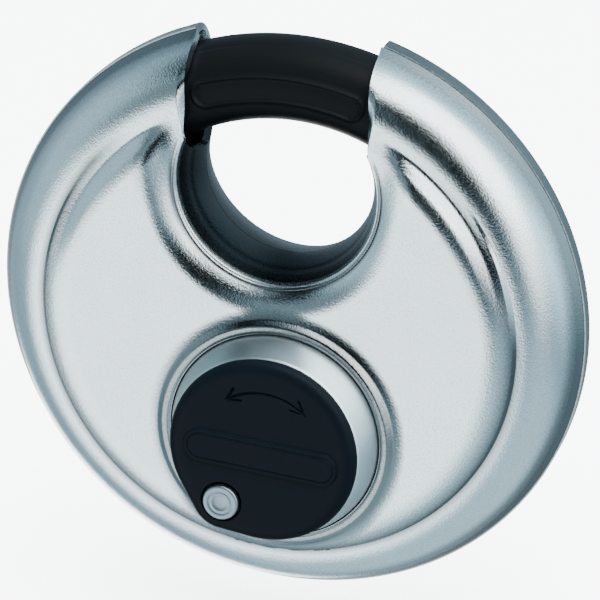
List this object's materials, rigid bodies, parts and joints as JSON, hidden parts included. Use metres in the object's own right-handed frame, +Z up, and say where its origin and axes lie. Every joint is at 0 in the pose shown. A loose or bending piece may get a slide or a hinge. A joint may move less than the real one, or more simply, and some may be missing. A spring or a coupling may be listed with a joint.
{
  "type": "disc padlock",
  "caption": "Round flat padlock with a curved shackle that a keyed disc cylinder swings aside inside its shrouded pressed steel case, and a swivelling cover over the keyway.",
  "frame": {"origin": "top of the shackle opening: the highest point of the bar's inner edge, in the seam plane, where the lock hangs on a hasp", "axes": "+Z up with the shackle at the top, -Y out of the front face with the keyway cover, +X to the viewer's right"},
  "size_m": [0.07, 0.0222, 0.0681],
  "materials": {
    "shell_steel": "satin stainless pressing with a fine grain",
    "guard_steel": "bright satin hardened steel",
    "shackle_coat": "satin black coat over hardened steel",
    "cover_plastic": "satin moulded black plastic",
    "rivet_metal": "turned and plated rivet head",
    "brass": "machined brass",
    "hard_steel": "ground hardened steel",
    "cast_zinc": "grey zinc die casting, matt",
    "rubber": "black seal rubber"
  },
  "bodies": {
    "case": {"front_shell": "shell_steel", "rear_shell": "shell_steel", "front_liner": "cast_zinc", "rear_liner": "cast_zinc", "cylinder_guard": "guard_steel", "seal_ring": "rubber", "cylinder_housing": "brass", "housing_dowel": "hard_steel", "cover_rivet": "rivet_metal", "friction_washer": "hard_steel"},
    "shackle": {"shackle": "shackle_coat"},
    "plug": {"plug": "brass", "face_disc": "hard_steel", "sidebar": "hard_steel", "spacer_1": "hard_steel", "spacer_2": "hard_steel", "spacer_3": "hard_steel", "spacer_4": "hard_steel", "spacer_5": "hard_steel", "driver_crank": "hard_steel", "crank_pin": "hard_steel"},
    "disc_1": {"code_disc_1": "brass"},
    "disc_2": {"code_disc_2": "brass"},
    "disc_3": {"code_disc_3": "brass"},
    "disc_4": {"code_disc_4": "brass"},
    "disc_5": {"code_disc_5": "brass"},
    "disc_6": {"code_disc_6": "brass"},
    "cover": {"keyway_cover": "cover_plastic"}
  },
  "joints": [
    {"name": "shackle_swing", "type": "hinge", "parent": "case", "child": "shackle", "pos_m": [0, 0, -0.02325], "axis": [0, -1, 0], "range_deg": [0, 66]},
    {"name": "plug_turn", "type": "hinge", "parent": "case", "child": "plug", "pos_m": [0, 0, -0.03635], "axis": [0, -1, 0], "range_deg": [0, 206]},
    {"name": "cover_swing", "type": "hinge", "parent": "case", "child": "cover", "pos_m": [-0.0049, 0, -0.043], "axis": [0, -1, 0], "range_deg": [-150, 150]},
    {"name": "disc_1_turn", "type": "hinge", "parent": "plug", "child": "disc_1", "pos_m": [0, 0, -0.03635], "axis": [0, -1, 0], "range_deg": [0, 90]},
    {"name": "disc_2_turn", "type": "hinge", "parent": "plug", "child": "disc_2", "pos_m": [0, 0, -0.03635], "axis": [0, -1, 0], "range_deg": [0, 60]},
    {"name": "disc_3_turn", "type": "hinge", "parent": "plug", "child": "disc_3", "pos_m": [0, 0, -0.03635], "axis": [0, -1, 0], "range_deg": [0, 75]},
    {"name": "disc_4_turn", "type": "hinge", "parent": "plug", "child": "disc_4", "pos_m": [0, 0, -0.03635], "axis": [0, -1, 0], "range_deg": [0, 45]},
    {"name": "disc_5_turn", "type": "hinge", "parent": "plug", "child": "disc_5", "pos_m": [0, 0, -0.03635], "axis": [0, -1, 0], "range_deg": [0, 90]},
    {"name": "disc_6_turn", "type": "hinge", "parent": "plug", "child": "disc_6", "pos_m": [0, 0, -0.03635], "axis": [0, -1, 0], "range_deg": [0, 30]}
  ],
  "couplings": [
    {"joint": "plug_turn", "follows": "shackle_swing", "ratio": 3.1173},
    {"joint": "disc_2_turn", "follows": "disc_1_turn", "ratio": 0.6666},
    {"joint": "disc_3_turn", "follows": "disc_1_turn", "ratio": 0.8333},
    {"joint": "disc_4_turn", "follows": "disc_1_turn", "ratio": 0.5},
    {"joint": "disc_5_turn", "follows": "disc_1_turn", "ratio": 1},
    {"joint": "disc_6_turn", "follows": "disc_1_turn", "ratio": 0.3333}
  ]
}
